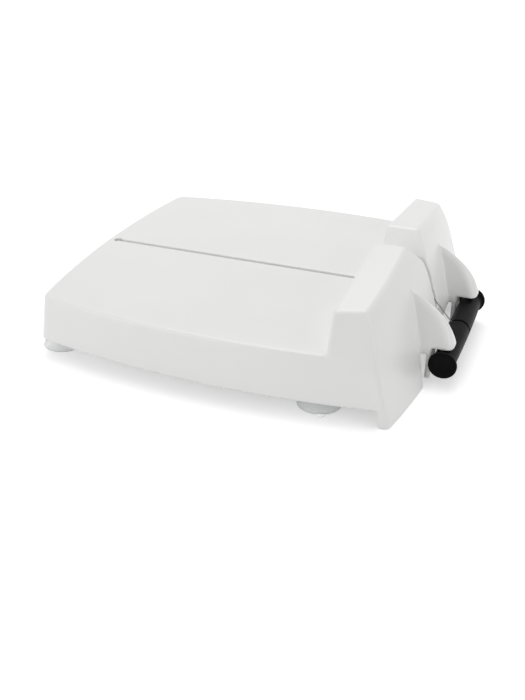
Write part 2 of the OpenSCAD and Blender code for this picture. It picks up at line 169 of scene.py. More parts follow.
# %% [markdown]
# ## Soft vinyl of the suction cups
# The cups are moulded from soft clear vinyl with a milky tinge. Most of the light goes through the skin,
# so the shader transmits it, and a fine haze of dust and wear varies the gloss.

# %% Material of the cups
HAZE_SIZE = 4 * MM

# Milky vinyl looks grey at its thin rim and whiter where it is thick
soft_vinyl, tree, place = new_material("soft_vinyl_moulded_milky")
haze = add_node(tree, "ShaderNodeTexNoise", inputs={"Vector": place, "Scale": 1 / HAZE_SIZE, "Detail": 3})
gloss = add_node(tree, "ShaderNodeMapRange",
                 inputs={"Value": haze.outputs["Fac"], "To Min": 0.14, "To Max": 0.3})
tone = add_node(tree, "ShaderNodeMix", {"data_type": "RGBA"}, {"Factor": haze.outputs["Fac"]})
tone.inputs[6].default_value = linear("#eef0f0")
tone.inputs[7].default_value = linear("#f8f9f9")
shader = add_node(tree, "ShaderNodeBsdfPrincipled", inputs={
    "Base Color": tone.outputs[2], "Roughness": gloss.outputs["Result"], "IOR": 1.35,
    "Transmission Weight": 0.8})
finish_material(tree, shader)
print("made", soft_vinyl.name)

# %% [markdown]
# ## Black grip plastic
# The handle is black ABS from a spark-eroded mould. Its skin has a fine, even grain that turns every
# highlight into a soft grey sheen. The real grain is about 0.2 mm, too fine to show at this size, so it
# is drawn three times as coarse.

# %% Material of the handle
GRAIN_SIZE = 0.6 * MM
GRAIN_HEIGHT = 0.08 * MM
RUBBED_PATCH = 18 * MM

# Grained black gives broad grey highlights and hides finger marks
black_grip, tree, place = new_material("abs_moulded_black_grained")
grain = add_node(tree, "ShaderNodeTexNoise", inputs={"Vector": place, "Scale": 1 / GRAIN_SIZE, "Detail": 2})
bump = add_node(tree, "ShaderNodeBump",
                inputs={"Height": grain.outputs["Fac"], "Strength": 0.3, "Distance": GRAIN_HEIGHT})
rubbed = add_node(tree, "ShaderNodeTexNoise",
                  inputs={"Vector": place, "Scale": 1 / RUBBED_PATCH, "Detail": 2})
gloss = add_node(tree, "ShaderNodeMapRange",
                 inputs={"Value": rubbed.outputs["Fac"], "To Min": 0.36, "To Max": 0.52})
tone = add_node(tree, "ShaderNodeMix", {"data_type": "RGBA"}, {"Factor": rubbed.outputs["Fac"]})
tone.inputs[6].default_value = linear("#060606")
tone.inputs[7].default_value = linear("#0c0c0d")
shader = add_node(tree, "ShaderNodeBsdfPrincipled", inputs={
    "Base Color": tone.outputs[2], "Roughness": gloss.outputs["Result"], "Normal": bump.outputs["Normal"],
    "IOR": 1.53, "Specular IOR Level": 0.05})
finish_material(tree, shader)
print("made", black_grip.name)

# %% [markdown]
# ## Steel and aluminium
# The screw, its washer, the guide pin, the eye and the core are stainless steel, drawn or turned, which
# leaves a fine grain. The wire's strands are the same steel, with a darker colour that is painted shade,
# standing for the shade the strands cast on each other. The ferrule is soft aluminium, duller and
# coarser. All are metals with the default IOR, and noise varies their tone and roughness.

# %% Materials of the metal pieces
DRAWN_GRAIN = 0.4 * MM
CRIMP_GRAIN = 0.8 * MM
metals = {}
for slot_name, name, dark, pale, smooth, rough, size in (
        ("steel", "stainless_steel_drawn", "#bfc1c3", "#d9dbdc", 0.2, 0.36, DRAWN_GRAIN),
        # The strands' darker colour is painted shade, for the shade the strands cast on each other
        ("strands", "stainless_steel_stranded", "#74767a", "#94969a", 0.3, 0.45, DRAWN_GRAIN),
        ("ferrule", "aluminium_crimped", "#b4b6b8", "#cfd0d2", 0.38, 0.55, CRIMP_GRAIN)):
    # Fine grain keeps a metal's highlight bright but slightly broken
    metal, tree, place = new_material(name)
    grain = add_node(tree, "ShaderNodeTexNoise", inputs={"Vector": place, "Scale": 1 / size, "Detail": 3})
    tone = add_node(tree, "ShaderNodeMix", {"data_type": "RGBA"}, {"Factor": grain.outputs["Fac"]})
    tone.inputs[6].default_value = linear(dark)
    tone.inputs[7].default_value = linear(pale)
    gloss = add_node(tree, "ShaderNodeMapRange",
                     inputs={"Value": grain.outputs["Fac"], "To Min": smooth, "To Max": rough})
    shader = add_node(tree, "ShaderNodeBsdfPrincipled", inputs={
        "Base Color": tone.outputs[2], "Roughness": gloss.outputs["Result"], "Metallic": 1})
    finish_material(tree, shader)
    metals[slot_name] = metal
print("made", [metal.name for metal in metals.values()])

# %% [markdown]
# ## Rule of the board's form
# The solid board has crisp edges, and the moulding has soft ones. Each outer face of the board is a
# simple surface: great cones for the leaning, bowed walls, a cylinder for each hook's ridge, and planes
# for the rest. The distance to each face is a short formula. Joining two distances with a rounded
# maximum rounds the outer edge between them, and a rounded minimum fills an inner corner. Where two
# faces meet at a small angle, a soft maximum eases one into the other.

# %% Distances and how they are joined
def cone_distance(x, y, z, axis_x, axis_y, radius, datum, lean):
    """Distance from a great cone on a vertical axis, positive outside."""
    reach = numpy.hypot(x - axis_x, y - axis_y)
    return (reach - radius - (datum - z) * math.tan(lean)) * math.cos(lean)


def round_max(first, second, radius):
    """Keep what lies inside both forms and round the edge where they meet."""
    grown_first = numpy.maximum(first + radius, 0)
    grown_second = numpy.maximum(second + radius, 0)
    rounded = numpy.hypot(grown_first, grown_second) - radius
    both = (grown_first > 0) & (grown_second > 0)
    return numpy.where(both, rounded, numpy.maximum(first, second))


def round_min(first, second, radius):
    """Join two forms and fill the corner where they meet."""
    near_first = numpy.clip(radius - first, 0, radius)
    near_second = numpy.clip(radius - second, 0, radius)
    sharp = numpy.minimum(first, second)
    both = (near_first > 0) & (near_second > 0)
    return numpy.where(both, numpy.minimum(sharp, radius - numpy.hypot(near_first, near_second)), sharp)


def soft_max(first, second, width):
    """Keep what lies inside both forms and ease the faces into each other."""
    if width == 0:
        return numpy.maximum(first, second)
    near = numpy.clip(1 - numpy.abs(first - second) / width, 0, 1)
    return numpy.maximum(first, second) + near * near * width / 4


cut_back = round_max(numpy.zeros(1), numpy.zeros(1), 1)[0]
print("an edge of radius 1 is cut back by", round(float(cut_back), 3))

# %% [markdown]
# The deck, the skirts and the stops come first. The radii follow the photograph: the deck's rim, the
# eaves and the ridges are crisp, and the side of each stop leans in above the deck and eases into the
# skirt below it.

# %% Deck, skirts and stops
HALF_LENGTH = 203 * MM
DECK_WIDTH = 340 * MM
DECK_HEIGHT = 62.5 * MM
SKIRT_CLEARANCE = 17 * MM
SIDE_BOW = 874 * MM
END_BOW = 937 * MM
SKIRT_DRAFT = math.radians(7)
STOP_X = 308 * MM - HALF_LENGTH
STOP_LEAN = math.radians(1)
RIDGE_HEIGHT = 113 * MM
RIDGE_OFFSET = 24 * MM
ROOF_FALL = math.radians(6.5)
EAVE_ARC = 28 * MM
EAVE_START = 141 * MM
EAVE_TURN = math.radians(11.5)
NOTCH_SLOPE = math.radians(45)
SLOT_HALF = 3 * MM
FACET_TOP_Y = 149.7 * MM
FACET_TOP_Z = 99.2 * MM
FACET_LEAN = 0.47
FACET_TURN = 0.28
FACET_EASE = 3 * MM
DECK_RIM = 3 * MM
CLOSED_CORNER = 6 * MM
RIDGE_EDGE = 2 * MM
SLOT_EDGE = 1.5 * MM
STOP_EDGE = 2 * MM
STOP_FOOT = 3 * MM


def roof_distance(spread, z, softness):
    """Distance from a roof. The solid has an arc at its eave, the soft form a leaning facet below."""
    roof = (z - RIDGE_HEIGHT + (spread - RIDGE_OFFSET) * math.tan(ROOF_FALL)) * math.cos(ROOF_FALL)
    if softness > 0:
        return roof
    start_z = RIDGE_HEIGHT - (EAVE_START - RIDGE_OFFSET) * math.tan(ROOF_FALL)
    across = spread - EAVE_START + EAVE_ARC * math.sin(EAVE_TURN)
    above = z - start_z + EAVE_ARC * math.cos(EAVE_TURN)
    eave = numpy.where((across > 0) & (above > 0), numpy.hypot(across, above) - EAVE_ARC, -EAVE_ARC)
    return numpy.maximum(roof, eave)


def side_distance(x, spread, z, softness):
    """Distance from a long side: a bowed skirt that the soft form eases into the leaning side of a stop."""
    skirt = cone_distance(x, spread, z, 0, DECK_WIDTH / 2 - SIDE_BOW, SIDE_BOW, DECK_HEIGHT, SKIRT_DRAFT)
    if softness == 0:
        return skirt
    facet = spread - FACET_TOP_Y + FACET_TURN * (x - STOP_X) + FACET_LEAN * (z - FACET_TOP_Z)
    return soft_max(skirt, facet / math.sqrt(1 + FACET_TURN ** 2 + FACET_LEAN ** 2), FACET_EASE)


def deck_and_stops(x, spread, z, softness):
    """Distance from the board without its end wall: skirts, deck and stops."""
    side = side_distance(x, spread, z, softness)
    closed_end = cone_distance(x, spread, z, END_BOW - HALF_LENGTH, 0, END_BOW, SKIRT_CLEARANCE,
                               SKIRT_DRAFT)
    flank = (z - RIDGE_HEIGHT + (RIDGE_OFFSET - spread) * math.tan(NOTCH_SLOPE)) * math.cos(NOTCH_SLOPE)
    stop = round_max(roof_distance(spread, z, softness), flank, softness * RIDGE_EDGE)
    stop = round_max(stop, SLOT_HALF - spread, softness * SLOT_EDGE)
    stop_face = (STOP_X - x + (z - DECK_HEIGHT) * math.tan(STOP_LEAN)) * math.cos(STOP_LEAN)
    stop = round_max(stop, stop_face, softness * STOP_EDGE)
    top = round_min(z - DECK_HEIGHT, stop, softness * STOP_FOOT)
    return round_max(round_max(side, closed_end, softness * CLOSED_CORNER), top, softness * DECK_RIM)


print("stop faces at x", round(STOP_X, 4))

# %% [markdown]
# The end wall is a cone that leans back more above a brow. Its apron reaches almost to the counter and
# is open in the middle for the hand. The groove, its round pocket and the slot are cut into the top.

# %% End wall, foot and channels
WALL_FOOT_X = HALF_LENGTH - 23.2 * MM
WALL_LEAN = math.radians(16.1)
WALL_BOW = 834 * MM
BROW_HEIGHT = 86 * MM
BROW_LEAN = math.radians(34)
APRON_BACK = 152.3 * MM
APRON_CLEARANCE = 0.5 * MM
OPENING_FOOT = 82 * MM
OPENING_TOP = 73 * MM
OPENING_HEIGHT = 29 * MM
GROOVE_HALF = 2.5 * MM
GROOVE_FLOOR = 55.5 * MM
POCKET_X = 17 * MM - HALF_LENGTH
POCKET_RADIUS = 4.5 * MM
SLOT_START = 153 * MM
SLOT_FLOOR = 44 * MM
BROW_EDGE = 5 * MM
WALL_EDGE = 3 * MM
APRON_TIP = 6 * MM
FOOT_EDGE = 1 * MM
CHANNEL_EDGE = 0.6 * MM


def with_end_wall(body, x, spread, z, softness):
    """Cut a form off at the end wall and round the corners."""
    axis_x = WALL_FOOT_X - WALL_BOW
    wall = cone_distance(x, spread, z, axis_x, 0, WALL_BOW, 0, WALL_LEAN)
    brow = cone_distance(x, spread, z, axis_x, 0, WALL_BOW - BROW_HEIGHT * math.tan(WALL_LEAN),
                         BROW_HEIGHT, BROW_LEAN)
    wall = round_max(wall, brow, softness * BROW_EDGE)
    return round_max(body, wall, softness * WALL_EDGE)


def with_openings(body, x, spread, z, softness):
    """Cut the board's foot, the hand opening and the channels of the wire."""
    tip = round_max(APRON_BACK - x, APRON_CLEARANCE - z, softness * APRON_TIP)
    foot = numpy.minimum(SKIRT_CLEARANCE - z, tip)
    body = round_max(body, foot, softness * FOOT_EDGE)
    opening_half = OPENING_FOOT + (OPENING_TOP - OPENING_FOOT) * z / OPENING_HEIGHT
    opening = numpy.maximum.reduce([spread - opening_half, z - OPENING_HEIGHT, STOP_X - x])
    body = round_max(body, -opening, softness * FOOT_EDGE)
    groove = numpy.maximum.reduce([spread - GROOVE_HALF, GROOVE_FLOOR - z, POCKET_X - x])
    pocket = numpy.maximum(numpy.hypot(x - POCKET_X, spread) - POCKET_RADIUS, GROOVE_FLOOR - z)
    slot = numpy.maximum.reduce([spread - SLOT_HALF, SLOT_FLOOR - z, SLOT_START - x])
    channel = numpy.minimum(numpy.minimum(groove, pocket), slot)
    return round_max(body, -channel, softness * CHANNEL_EDGE)


print("end wall's foot at x", round(WALL_FOOT_X, 4))

# %% [markdown]
# Each hook is a hood that grows out of the end wall. Seen from the handle's side it is a point that
# widens downwards, and seen along the handle it bulges like a beak. Its tip hangs over the handle, and
# two thin jaws behind the handle keep it from slipping in. Rounding a ridge takes some of it away, so
# the soft ridge bulges more than the solid's before it is rounded.

# %% Hooks
HOOK_OFFSET = 58.5 * MM
HOOK_HALF = 12 * MM
HOOK_TOP = 89 * MM
HOOK_SINK = 1.5 * MM
HOOK_START = 108.5 * MM
HOOK_TIP_X = HALF_LENGTH - 6.5 * MM
HOOK_TIP_Z = 36 * MM
HOOK_RIDGE = 97 * MM
SOFT_RIDGE = 72 * MM
JAW_X = 177.8 * MM
JAW_DEPTH = 5 * MM
JAW_FOOT = 4 * MM
HOOK_EDGE = 8 * MM
HOOK_TIP_EDGE = 2.5 * MM
HOOK_FILLET = 2 * MM
HOOK_SWELL = 1 * MM

hook_sag = WALL_BOW - math.sqrt(WALL_BOW ** 2 - HOOK_OFFSET ** 2)
hook_lean = HOOK_TOP * math.tan(WALL_LEAN)
hook_lean += (HOOK_TOP - BROW_HEIGHT) * (math.tan(BROW_LEAN) - math.tan(WALL_LEAN))
hook_top_x = WALL_FOOT_X - hook_sag - hook_lean - HOOK_SINK
chord = Vector((HOOK_TIP_X - hook_top_x, HOOK_TIP_Z - HOOK_TOP))


def ridge_centre(radius):
    """Centre of the circle that a hook's ridge follows from its top to its tip."""
    back = math.sqrt(radius ** 2 - chord.length_squared / 4)
    return ((hook_top_x + HOOK_TIP_X) / 2 + back * chord.y / chord.length,
            (HOOK_TOP + HOOK_TIP_Z) / 2 - back * chord.x / chord.length)


def hook_distance(x, spread, z, softness):
    """Distance from a hook with its jaws."""
    aside = numpy.abs(spread - HOOK_OFFSET)
    rise = HOOK_TOP - HOOK_TIP_Z
    flank = (aside * rise + (z - HOOK_TOP) * HOOK_HALF) / math.hypot(rise, HOOK_HALF)
    flank = numpy.maximum(flank, aside - HOOK_HALF)
    radius = SOFT_RIDGE if softness > 0 else HOOK_RIDGE
    centre_x, centre_z = ridge_centre(radius)
    ridge = numpy.hypot(x - centre_x, z - centre_z) - radius - softness * HOOK_SWELL
    neck = numpy.maximum(OPENING_HEIGHT - z, x - JAW_X)
    jaw = numpy.maximum.reduce([JAW_FOOT - z, x - JAW_X, JAW_X - JAW_DEPTH - x])
    under = numpy.minimum(numpy.minimum(HOOK_TIP_Z - z, neck), jaw)
    hood = round_max(round_max(ridge, flank, softness * HOOK_EDGE), under, softness * HOOK_TIP_EDGE)
    return numpy.maximum(hood, HOOK_START - x)


def board_distance(points, softness):
    """Distance of points from the board's outer form: softness 0 is the solid's, 1 the moulding's."""
    x = points[:, 0]
    spread = numpy.abs(points[:, 1])
    z = points[:, 2]
    body = deck_and_stops(x, spread, z, softness)
    body = with_end_wall(body, x, spread, z, softness)
    body = with_openings(body, x, spread, z, softness)
    return round_min(body, hook_distance(x, spread, z, softness), softness * HOOK_FILLET)


print("a hook's ridge turns about", [round(value, 4) for value in ridge_centre(SOFT_RIDGE)])

# %% [markdown]
# ## The board
# The solid's mesh has long, thin triangles, which a bevel would tear. So a copy is first turned into an
# even grid of small faces with a voxel remesh. Then every point keeps its depth under the sharp form
# but takes that depth under the soft form. Points on the outer skin land exactly on the soft form, and
# the inner skin follows, so the wall keeps its thickness. Last, the mesh is thinned where it is flat,
# and its shading normals are weighted so that the large faces stay even.

# %% Helpers for meshes
WELD_DISTANCE = 0.001 * MM


def mesh_from(name, node):
    """Return a welded copy of a solid's mesh in a new object."""
    source = bmesh.new()
    source.from_mesh(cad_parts[node].data)
    bmesh.ops.remove_doubles(source, verts=source.verts, dist=WELD_DISTANCE)
    mesh = bpy.data.meshes.new(name)
    source.to_mesh(mesh)
    source.free()
    piece = bpy.data.objects.new(name, mesh)
    scene.collection.objects.link(piece)
    return piece


def apply_modifiers(piece):
    """Turn what a piece's modifiers make into its own plain mesh."""
    graph = bpy.context.evaluated_depsgraph_get()
    result = bpy.data.meshes.new_from_object(piece.evaluated_get(graph))
    result.name = piece.name
    piece.modifiers.clear()
    piece.data = result


print("solids to dress:", len(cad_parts))

# %% From the sharp form to the soft one
SNAP = 0.95 * MM
WALL = 3.5 * MM
LARGEST_STEP = 3 * MM
CLOSE_ENOUGH = 0.005 * MM
SLOPE_STEP = 0.05 * MM
LEAST_STEEPNESS = 0.25
WARP_ROUNDS = 8


def slope_of(points, softness):
    """Direction and steepness in which the board's distance grows."""
    slope = numpy.zeros_like(points)
    for axis in range(3):
        ahead = points.copy()
        ahead[:, axis] += SLOPE_STEP
        behind = points.copy()
        behind[:, axis] -= SLOPE_STEP
        growth = board_distance(ahead, softness) - board_distance(behind, softness)
        slope[:, axis] = growth / (2 * SLOPE_STEP)
    return slope


def soften(points):
    """Move points so that their depth under the sharp form becomes their depth under the soft form."""
    depth = board_distance(points, 0)
    depth = numpy.where(numpy.abs(depth) < SNAP, 0, depth)
    depth = numpy.where(numpy.abs(depth + WALL) < SNAP, -WALL, depth)
    moved = points.copy()
    for _ in range(WARP_ROUNDS):
        left = board_distance(moved, 1) - depth
        far = numpy.abs(left) > CLOSE_ENOUGH
        slope = slope_of(moved[far], 1)
        steepness = numpy.maximum((slope * slope).sum(axis=1), LEAST_STEEPNESS)
        step = numpy.clip(left[far] / steepness, -LARGEST_STEP, LARGEST_STEP)
        moved[far] -= slope * step[:, None]
    return moved


deck_middle = soften(numpy.array([[0, DECK_WIDTH / 4, DECK_HEIGHT]]))[0]
print("a point on the flat deck stays at", [round(float(value), 5) for value in deck_middle])

# %% The board's soft skin
VOXEL = 1.2 * MM

board_skin = mesh_from("board_skin", "board")
remesh = board_skin.modifiers.new("even_grid", "REMESH")
remesh.mode = "VOXEL"
remesh.voxel_size = VOXEL
apply_modifiers(board_skin)
flat = numpy.zeros(len(board_skin.data.vertices) * 3)
board_skin.data.vertices.foreach_get("co", flat)
soft = soften(flat.reshape(-1, 3))
board_skin.data.vertices.foreach_set("co", soft.ravel())
print("points of the even grid:", len(soft))

# %% Thin the board's skin
SKIN_TRIANGLES = 190000

faces_now = sum(len(face.vertices) - 2 for face in board_skin.data.polygons)
thin = board_skin.modifiers.new("thin_flats", "DECIMATE")
thin.ratio = min(1, SKIN_TRIANGLES / faces_now)
apply_modifiers(board_skin)
board_skin.data.shade_smooth()
board_skin.modifiers.new("even_flats", "WEIGHTED_NORMAL")
apply_modifiers(board_skin)
board_skin.data.materials.clear()
board_skin.data.materials.append(white_moulding)
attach(board_skin, "base")
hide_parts("board")
print("triangles of the board's skin:", len(board_skin.data.polygons))

# %% [markdown]
# ## Turned pieces
# The cups and the handle's halves are round about an axis. A lathe function takes half a section as
# pairs of radius and height, turns it into rings of points and joins them with faces. A second function
# draws the rounded corners of a section as arcs.

# %% A lathe and an arc
ROUND_SEGMENTS = 96
ARC_STEPS = 8


def arc(centre, radius, start, end, steps=ARC_STEPS):
    """Points of an arc in a section, with angles in degrees."""
    angles = [math.radians(start + (end - start) * step / steps) for step in range(steps + 1)]
    return [(centre[0] + radius * math.cos(angle), centre[1] + radius * math.sin(angle))
            for angle in angles]


def lathe(name, section, turn):
    """Turn a section, listed from one pole to the other, round the Z axis and place it with a matrix."""
    shape = bmesh.new()
    rings = []
    for radius, height in section:
        count = ROUND_SEGMENTS if radius > 0 else 1
        angles = [2 * math.pi * index / count for index in range(count)]
        rings.append([shape.verts.new((radius * math.cos(angle), radius * math.sin(angle), height))
                      for angle in angles])
    for lower, upper in zip(rings, rings[1:]):
        for index in range(ROUND_SEGMENTS):
            after = (index + 1) % ROUND_SEGMENTS
            corners = [lower[index % len(lower)], lower[after % len(lower)],
                       upper[after % len(upper)], upper[index % len(upper)]]
            shape.faces.new(list(dict.fromkeys(corners)))
    bmesh.ops.recalc_face_normals(shape, faces=shape.faces)
    mesh = bpy.data.meshes.new(name)
    shape.to_mesh(mesh)
    shape.free()
    mesh.transform(turn)
    mesh.shade_smooth()
    piece = bpy.data.objects.new(name, mesh)
    scene.collection.objects.link(piece)
    return piece


print("arc points:", len(arc((0, 0), 1, 0, 90)))

# %% [markdown]
# ## The handle's halves
# Each half is a slightly swelling grip with a thick, round-edged disc at its outer end. The disc's face
# is dished. The section runs from the joint in the middle, where the core rod enters, along the grip,
# round the disc and across the dish to the axis.

# %% The handle's halves
near_low, near_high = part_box("handle_half_near")
core_low, core_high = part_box("handle_core")
handle_axis = Vector(((near_low.x + near_high.x) / 2, 0, (near_low.z + near_high.z) / 2))
disc_radius = (near_high.x - near_low.x) / 2
half_length = -near_low.y
joint_half = -near_high.y
core_radius = (core_high.x - core_low.x) / 2
GRIP_RADIUS = 11.3 * MM
GRIP_END_RADIUS = 10.3 * MM
DISC_THICKNESS = 4.2 * MM
DISC_DISH = 1 * MM
GRIP_STEPS = 24
JOINT_EDGE = 0.9 * MM
FLARE_OUT = 1.5 * MM
FLARE_ALONG = 4 * MM
DISC_EDGE = 1.7 * MM

disc_start = half_length - DISC_THICKNESS
core_end = core_high.y
section = [(0, core_end), (core_radius, core_end), (core_radius, joint_half)]
section += arc((GRIP_RADIUS - JOINT_EDGE, joint_half + JOINT_EDGE), JOINT_EDGE, -90, 0)
for step in range(1, GRIP_STEPS):
    share = step / GRIP_STEPS
    along = joint_half + JOINT_EDGE + share * (disc_start - FLARE_ALONG - joint_half - JOINT_EDGE)
    section.append((GRIP_RADIUS - (GRIP_RADIUS - GRIP_END_RADIUS) * share * share, along))
for out, along in arc((1, 0), 1, 180, 90):
    section.append((GRIP_END_RADIUS + FLARE_OUT * out, disc_start - FLARE_ALONG * (1 - along)))
section += arc((disc_radius - DISC_EDGE, disc_start + DISC_EDGE), DISC_EDGE, -90, 0)
section += arc((disc_radius - DISC_EDGE, half_length - DISC_EDGE), DISC_EDGE, 0, 90)
dish_edge = disc_radius - DISC_THICKNESS
for step in range(ARC_STEPS + 1):
    share = 1 - step / ARC_STEPS
    section.append((dish_edge * share, half_length - DISC_DISH * (1 - share * share)))
for side, name, node in (
        (1, "handle_grip_near", "handle_half_near"),
        (-1, "handle_grip_far", "handle_half_far")):
    stand = Matrix.Translation(handle_axis) @ Matrix.Rotation(side * math.pi / 2, 4, "X")
    grip = lathe(name, section, stand)
    grip.data.materials.append(black_grip)
    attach(grip, "handle")
    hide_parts(node)
print("section points of a grip:", len(section))

# %% [markdown]
# ## The suction cups
# Four equal cups stand under the board. One cup is turned on the lathe and gets its pull tab, and a
# Geometry Nodes tree then sets it on four points and turns each copy, so that its tab points the way
# the solid's does. The tree ends with real faces, because instances would be lost on export.

# %% One suction cup
CUP_NODES = ("suction_cup_near_left", "suction_cup_near_right",
             "suction_cup_far_left", "suction_cup_far_right")
CUP_RADIUS = 21 * MM
CUP_NECK = 7.5 * MM
CUP_SKIN = 2 * MM
CUP_DOME = 12 * MM
CUP_LIP = 0.5 * MM
NECK_EASE = 1 * MM
STUD_RADIUS = 4 * MM
TAB_LENGTH = 5 * MM
TAB_WIDTH = 7 * MM

cup_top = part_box(CUP_NODES[0])[1].z
dome_radius = (CUP_RADIUS ** 2 + CUP_DOME ** 2) / (2 * CUP_DOME)
dome_centre = CUP_DOME - dome_radius
inner_rise = math.degrees(math.asin((CUP_LIP - dome_centre + CUP_SKIN) / dome_radius))
outer_low = math.degrees(math.asin((2 * CUP_LIP - dome_centre) / dome_radius))
outer_high = math.degrees(math.acos((CUP_NECK + NECK_EASE) / dome_radius))
section = arc((0, dome_centre - CUP_SKIN), dome_radius, 90, inner_rise, 2 * ARC_STEPS)
section[0] = (0, section[0][1])
section += arc((CUP_RADIUS - CUP_LIP, CUP_LIP), CUP_LIP, -90, 60)
section += arc((0, dome_centre), dome_radius, outer_low, outer_high, 2 * ARC_STEPS)
section += [(CUP_NECK, CUP_DOME), (CUP_NECK, SKIRT_CLEARANCE), (STUD_RADIUS, SKIRT_CLEARANCE)]
section += [(STUD_RADIUS, cup_top), (0, cup_top)]
one_cup = lathe("one_cup", section, Matrix.Identity(4))
print("points in a cup's section:", len(section))

# %% A cup's pull tab
whole_cup = bmesh.new()
whole_cup.from_mesh(one_cup.data)
tab_middle = CUP_RADIUS + TAB_LENGTH - TAB_WIDTH / 2
outline = [(CUP_RADIUS - CUP_SKIN, -TAB_WIDTH / 2)]
outline += arc((tab_middle, 0), TAB_WIDTH / 2, -90, 90)
outline += [(CUP_RADIUS - CUP_SKIN, TAB_WIDTH / 2)]
base_face = whole_cup.faces.new([whole_cup.verts.new((x, y, 0)) for x, y in outline])
raised = bmesh.ops.extrude_face_region(whole_cup, geom=[base_face])
bmesh.ops.translate(whole_cup, vec=(0, 0, 2 * CUP_LIP),
                    verts=[item for item in raised["geom"] if isinstance(item, bmesh.types.BMVert)])
bmesh.ops.recalc_face_normals(whole_cup, faces=whole_cup.faces)
whole_cup.to_mesh(one_cup.data)
whole_cup.free()
print("faces of one cup:", len(one_cup.data.polygons))

# %% Set the cup on its four places
cup_tree = bpy.data.node_groups.new("cups_on_points", "GeometryNodeTree")
cup_tree.interface.new_socket("Places", in_out="INPUT", socket_type="NodeSocketGeometry")
cup_socket = cup_tree.interface.new_socket("Cup", in_out="INPUT", socket_type="NodeSocketObject")
turn_socket = cup_tree.interface.new_socket("Tab Turn", in_out="INPUT", socket_type="NodeSocketFloat")
vinyl_socket = cup_tree.interface.new_socket("Vinyl", in_out="INPUT", socket_type="NodeSocketMaterial")
cup_tree.interface.new_socket("Cups", in_out="OUTPUT", socket_type="NodeSocketGeometry")
given = add_node(cup_tree, "NodeGroupInput")
cup_info = add_node(cup_tree, "GeometryNodeObjectInfo", inputs={"Object": given.outputs["Cup"]})
rotation = add_node(cup_tree, "ShaderNodeCombineXYZ", inputs={"Z": given.outputs["Tab Turn"]})
set_out = add_node(cup_tree, "GeometryNodeInstanceOnPoints", inputs={
    "Points": given.outputs["Places"], "Instance": cup_info.outputs["Geometry"],
    "Rotation": rotation.outputs["Vector"]})
real = add_node(cup_tree, "GeometryNodeRealizeInstances", inputs={"Geometry": set_out.outputs["Instances"]})
coated = add_node(cup_tree, "GeometryNodeSetMaterial",
                  inputs={"Geometry": real.outputs["Geometry"], "Material": given.outputs["Vinyl"]})
add_node(cup_tree, "NodeGroupOutput", inputs={"Cups": coated.outputs["Geometry"]})
print("nodes in the cups' tree:", len(cup_tree.nodes))

# %% Make the cups real
TAB_TURNS = (0, -70, 0, 70)
places = []
for cup in CUP_NODES:
    low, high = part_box(cup)
    middle_y = high.y - CUP_RADIUS if low.y < 0 else low.y + CUP_RADIUS
    places.append((low.x + CUP_RADIUS, middle_y, 0))
cup_places = bpy.data.meshes.new("suction_cups")
cup_places.from_pydata(places, [], [])
tab_turns = cup_places.attributes.new("tab_turn", "FLOAT", "POINT")
tab_turns.data.foreach_set("value", [math.radians(turn) for turn in TAB_TURNS])
suction_cups = bpy.data.objects.new("suction_cups", cup_places)
scene.collection.objects.link(suction_cups)
setting = suction_cups.modifiers.new("cups_on_points", "NODES")
setting.node_group = cup_tree
setting[cup_socket.identifier] = one_cup
setting[turn_socket.identifier + "_use_attribute"] = True
setting[turn_socket.identifier + "_attribute_name"] = "tab_turn"
setting[vinyl_socket.identifier] = soft_vinyl
apply_modifiers(suction_cups)
bpy.data.objects.remove(one_cup)
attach(suction_cups, "base")
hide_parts(*CUP_NODES)
print("faces of the four cups:", len(suction_cups.data.polygons))

# %% [markdown]
# ## The wire
# The wire is a cable of six fine strands. It is swept along its path by a Geometry Nodes tree: six
# small circles on a ring make the section, and a tilt that grows with the length twists them. One path
# is the stretch on the board, from the loop round the screw to the bend over the guide pin. The other
# is the tail from the pin to the handle.

# %% Inputs of a tree that twists strands along a path
strand_tree = bpy.data.node_groups.new("strands_on_path", "GeometryNodeTree")
strand_tree.interface.new_socket("Path", in_out="INPUT", socket_type="NodeSocketGeometry")
size_socket = strand_tree.interface.new_socket("Wire Diameter", in_out="INPUT",
                                               socket_type="NodeSocketFloat")
lay_socket = strand_tree.interface.new_socket("Lay Length", in_out="INPUT", socket_type="NodeSocketFloat")
count_socket = strand_tree.interface.new_socket("Strands", in_out="INPUT", socket_type="NodeSocketInt")
steel_socket = strand_tree.interface.new_socket("Steel", in_out="INPUT", socket_type="NodeSocketMaterial")
strand_tree.interface.new_socket("Wire", in_out="OUTPUT", socket_type="NodeSocketGeometry")
print("inputs and outputs of the strands' tree:", len(strand_tree.interface.items_tree))

# %% Nodes of the strands' tree
# The strands touch: their ring's radius is a third of the wire's diameter, and a strand's a sixth
RING_SHARE = 3
STRAND_SHARE = 6
STRAND_SIDES = 6

given = add_node(strand_tree, "NodeGroupInput")
path = add_node(strand_tree, "GeometryNodeMeshToCurve", inputs={"Mesh": given.outputs["Path"]})
along = add_node(strand_tree, "GeometryNodeSplineParameter")
turns = add_node(strand_tree, "ShaderNodeMath", {"operation": "DIVIDE"},
                 {0: along.outputs["Length"], 1: given.outputs["Lay Length"]})
angle = add_node(strand_tree, "ShaderNodeMath", {"operation": "MULTIPLY"},
                 {0: turns.outputs[0], 1: 2 * math.pi})
twisted = add_node(strand_tree, "GeometryNodeSetCurveTilt",
                   inputs={"Curve": path.outputs["Curve"], "Tilt": angle.outputs[0]})
ring_size = add_node(strand_tree, "ShaderNodeMath", {"operation": "DIVIDE"},
                     {0: given.outputs["Wire Diameter"], 1: RING_SHARE})
strand_size = add_node(strand_tree, "ShaderNodeMath", {"operation": "DIVIDE"},
                       {0: given.outputs["Wire Diameter"], 1: STRAND_SHARE})
ring = add_node(strand_tree, "GeometryNodeCurvePrimitiveCircle",
                inputs={"Resolution": given.outputs["Strands"], "Radius": ring_size.outputs[0]})
